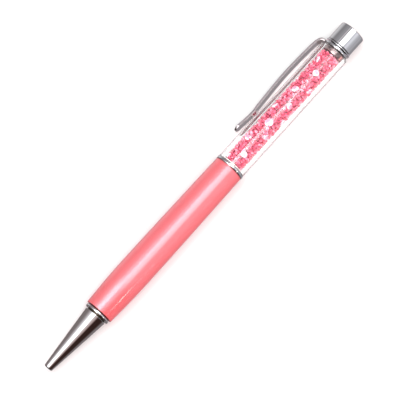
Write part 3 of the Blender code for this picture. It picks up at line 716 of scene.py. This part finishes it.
def floor():
    """White paper under the pen, which the chrome doesn't show."""
    made, tree, shader = new_material("paper", (0.9, 0.9, 0.9), Roughness=0.9)
    own = add_node(tree, "TexCoord").outputs["Object"]
    grain = add_node(tree, "TexNoise", {"Vector": own}, {"Scale": 900.0})
    bump(tree, shader, grain.outputs["Fac"], 0.02, FINE_RELIEF)
    bm = bmesh.new()
    bmesh.ops.create_grid(bm, x_segments=1, y_segments=1, size=FLOOR_HALF)
    mesh = bpy.data.meshes.new("floor")
    bm.to_mesh(mesh)
    bm.free()
    mesh.materials.append(made)
    sheet = bpy.data.objects.new("floor", mesh)
    bpy.context.scene.collection.objects.link(sheet)
    sheet.visible_glossy = False


# The studio as reflections see it: (angle from straight up, colour), from the side away from the clip
# to the clip's side. What faces the nose end sees the first list, what faces the cap end the second.
TOWARDS_NOSE = (
    (-180, (0.20, 0.18, 0.18)), (-100, (0.22, 0.19, 0.19)), (-83, (0.09, 0.066, 0.062)),
    (-74, (0.035, 0.017, 0.014)), (-22, (0.035, 0.016, 0.013)), (-18, (0.08, 0.045, 0.04)),
    (-8, (0.42, 0.31, 0.29)), (3, (0.62, 0.52, 0.50)), (16, (0.66, 0.58, 0.56)),
    (20, (3.4, 3.4, 3.4)), (44, (3.4, 3.4, 3.4)), (56, (1.2, 1.2, 1.2)),
    (72, (0.62, 0.58, 0.58)), (88, (0.34, 0.30, 0.30)), (107, (0.21, 0.175, 0.175)),
    (150, (0.21, 0.18, 0.17)), (180, (0.10, 0.08, 0.08)),
)
TOWARDS_CAP = (
    (-180, (1.0, 0.86, 0.90)), (-148, (0.95, 0.82, 0.86)), (-137, (0.33, 0.32, 0.33)),
    (-109, (0.29, 0.28, 0.29)), (-92, (0.36, 0.35, 0.37)), (-83, (0.45, 0.44, 0.46)),
    (-70, (0.41, 0.40, 0.43)), (-48, (0.54, 0.54, 0.57)), (-30, (0.83, 0.83, 0.87)),
    (-20, (0.76, 0.76, 0.80)), (-10, (0.56, 0.56, 0.60)), (-6.5, (0.9, 0.9, 0.9)),
    (-4, (2.6, 2.6, 2.6)), (33, (2.6, 2.6, 2.6)), (36, (0.9, 0.9, 0.9)),
    (40, (0.28, 0.28, 0.29)), (46, (0.19, 0.17, 0.18)), (48, (1.0, 0.97, 0.98)),
    (51, (1.0, 0.97, 0.98)), (53, (0.26, 0.23, 0.24)), (62, (0.35, 0.34, 0.36)),
    (75, (0.30, 0.29, 0.30)), (103, (0.235, 0.23, 0.24)), (114, (0.38, 0.37, 0.38)),
    (125, (0.55, 0.54, 0.55)), (151, (0.69, 0.68, 0.69)), (168, (0.40, 0.37, 0.38)),
    (180, (0.25, 0.22, 0.23)),
)
BRIGHTEST = 3.5
END_BLEND = (0.045, 0.075)  # the x of a direction, between which the first list gives way to the second
# Light from nearer the pen's ends is dimmer: as x grows from the first value to the second, either
# way, it falls to the share that comes third.
SLANT = (0.3, 0.42, 0.62)
ENDS = (0.78, 0.9, 0.36)
SIDE_LAMP = (math.radians(-45), math.radians(3), 0.044, 0.02)  # its angle, spread, x and spread along x
SIDE_LAMP_COLOUR = (2.6, 2.4, 2.1)
EVEN_LIGHT = 0.65


def light_card(tree, place, stops):
    """A ramp of light by angle, as shares of the brightest."""
    ramp = add_node(tree, "ValToRGB", {"Fac": place})
    made = ramp.color_ramp.elements
    while len(made) < len(stops):
        made.new(0.5)
    for stop, (degrees, colour) in zip(made, stops):
        stop.position = (degrees + 180) / 360
        stop.color = (*(c / BRIGHTEST for c in colour), 1.0)
    return ramp.outputs["Color"]


def studio():
    """Even white light, with bright and dark cards that only reflections and clear pieces see."""
    world = bpy.data.worlds.new("studio")
    bpy.context.scene.world = world
    world.use_nodes = True
    tree = world.node_tree
    way = add_node(tree, "SeparateXYZ", {0: add_node(tree, "TexCoord").outputs["Generated"]})
    angle = add_node(tree, "Math", {0: way.outputs["Y"], 1: way.outputs["Z"]}, operation="ARCTAN2")
    place = spread(tree, angle.outputs[0], 0.0, 1.0, -math.pi, math.pi)
    end = spread(tree, way.outputs["X"], 0.0, 1.0, *END_BLEND)
    cards = add_node(tree, "Mix", {"Factor": end}, data_type="RGBA")
    tree.links.new(light_card(tree, place, TOWARDS_NOSE), cards.inputs["A"])
    tree.links.new(light_card(tree, place, TOWARDS_CAP), cards.inputs["B"])
    along = add_node(tree, "Math", {0: way.outputs["X"]}, operation="ABSOLUTE").outputs[0]
    slant, ends = (spread(tree, along, BRIGHTEST, share * BRIGHTEST, near, far)
                   for near, far, share in (SLANT, ENDS))
    dimmed = add_node(tree, "Math", {0: slant, 1: ends}, operation="MINIMUM").outputs[0]
    where, spread_round, x, spread_x = SIDE_LAMP
    row = add_node(tree, "Math", {0: angle.outputs[0]}, {1: where, 2: spread_round}, operation="COMPARE")
    column = add_node(tree, "Math", {0: way.outputs["X"]}, {1: x, 2: spread_x}, operation="COMPARE")
    lamp = add_node(tree, "Math", {0: row.outputs[0], 1: column.outputs[0]}, operation="MULTIPLY").outputs[0]
    cards = add_node(tree, "Mix", {"Factor": lamp, "A": cards.outputs["Result"]}, data_type="RGBA")
    cards.inputs["B"].default_value = (*SIDE_LAMP_COLOUR, 1.0)
    seen = add_node(tree, "Background", {"Color": cards.outputs["Result"], "Strength": dimmed})
    even = tree.nodes["Background"]
    even.inputs["Color"].default_value = (1.0, 1.0, 1.0, 1.0)
    even.inputs["Strength"].default_value = EVEN_LIGHT
    path = add_node(tree, "LightPath")
    bent = add_node(tree, "Math", {0: path.outputs["Is Glossy Ray"], 1: path.outputs["Is Transmission Ray"]},
                    operation="MAXIMUM")
    both = add_node(tree, "MixShader", {"Fac": bent.outputs[0]})
    tree.links.new(even.outputs[0], both.inputs[1])
    tree.links.new(seen.outputs[0], both.inputs[2])
    tree.links.new(both.outputs[0], tree.nodes["World Output"].inputs["Surface"])


def soft_box(name, place, size, power, colour):
    """A lamp of this size and power that faces the origin and that no reflection shows."""
    lamp = bpy.data.lights.new(name, "AREA")
    lamp.color = colour
    lamp.shape = "RECTANGLE"
    lamp.size, lamp.size_y = size
    lamp.energy = power
    made = bpy.data.objects.new(name, lamp)
    bpy.context.scene.collection.objects.link(made)
    made.location = place
    made.rotation_euler = (-Vector(place)).to_track_quat("-Z", "Y").to_euler()
    made.visible_camera = False
    made.visible_glossy = False


# ---------------------------------------------------------------- the whole pen

def dress(nodes, material):
    """Gives CAD nodes whose shape is right a finer material."""
    for name in nodes:
        for slot in frame["nodes"][name].material_slots:
            slot.material = material


chrome = chrome_plate("chrome_plate", (0.86, 0.86, 0.88))
spring_chrome = chrome_plate("spring_chrome", (0.86, 0.78, 0.80))
steel = metal("turned_steel", (0.56, 0.57, 0.58), 6000, 0.16, 0.30, 0.25)
dull_steel = metal("dull_steel", (0.28, 0.21, 0.21), 6000, 0.30, 0.45, 0.30)
tungsten = metal("polished_ball", (0.45, 0.45, 0.47), 9000, 0.05, 0.10, 0.05)
brass = metal("dark_brass", (0.10, 0.075, 0.05), 5000, 0.25, 0.40, 0.30)
nylon = plastic("nylon", (0.70, 0.69, 0.65), 0.45)
rubber = plastic("black_rubber", (0.02, 0.02, 0.02), 0.6)
refill_plastic = plastic("refill_plastic", (0.85, 0.87, 0.88), 0.2, Transmission_Weight=0.5)
gel = plastic("gel_ink", (0.012, 0.012, 0.02), 0.15, Coat_Weight=0.5)
grease = plastic("follower_grease", (0.75, 0.68, 0.45), 0.15, Transmission_Weight=0.5)

nose_cone(chrome)
trim_ring("nose_ring", NOSE_RING_BORE_R, chrome, "lower_half", NOSE_RING_ROUND)
barrel(pearl_lacquer())
centre_flange(chrome)
clear_tube(clear_acrylic())
tube_plugs(dull_steel, nylon)
crystals(pink_crystal(), clear_crystal())
trim_ring("clip_ring", STUD_HOLE_R, chrome, "upper_half", RIM_ROUND)
trim_ring("cap_ring", STUD_HOLE_R, chrome, "upper_half", RIM_ROUND)
cap(chrome)
clip(spring_chrome)
writing_point(steel, tungsten)
coil_spring(steel)

dress(("nose_bush", "cap_insert"), brass)
dress(("mechanism_housing", "cam_rotor", "slider", "refill_end_plug"), nylon)
dress(("follower_pin",), steel)
dress(("friction_ring",), rubber)
dress(("refill_tube",), refill_plastic)
dress(("ink_column",), gel)
dress(("grease_follower",), grease)

floor()
studio()
soft_box("key", (-0.06, 0.30, 0.76), (0.5, 0.5), 5.6, (1.0, 1.0, 1.0))
soft_box("fill", (0.0, -0.32, 0.12), (0.4, 0.12), 0.6, (1.0, 0.50, 0.46))
camera()
bpy.context.scene.view_settings.view_transform = "Standard"
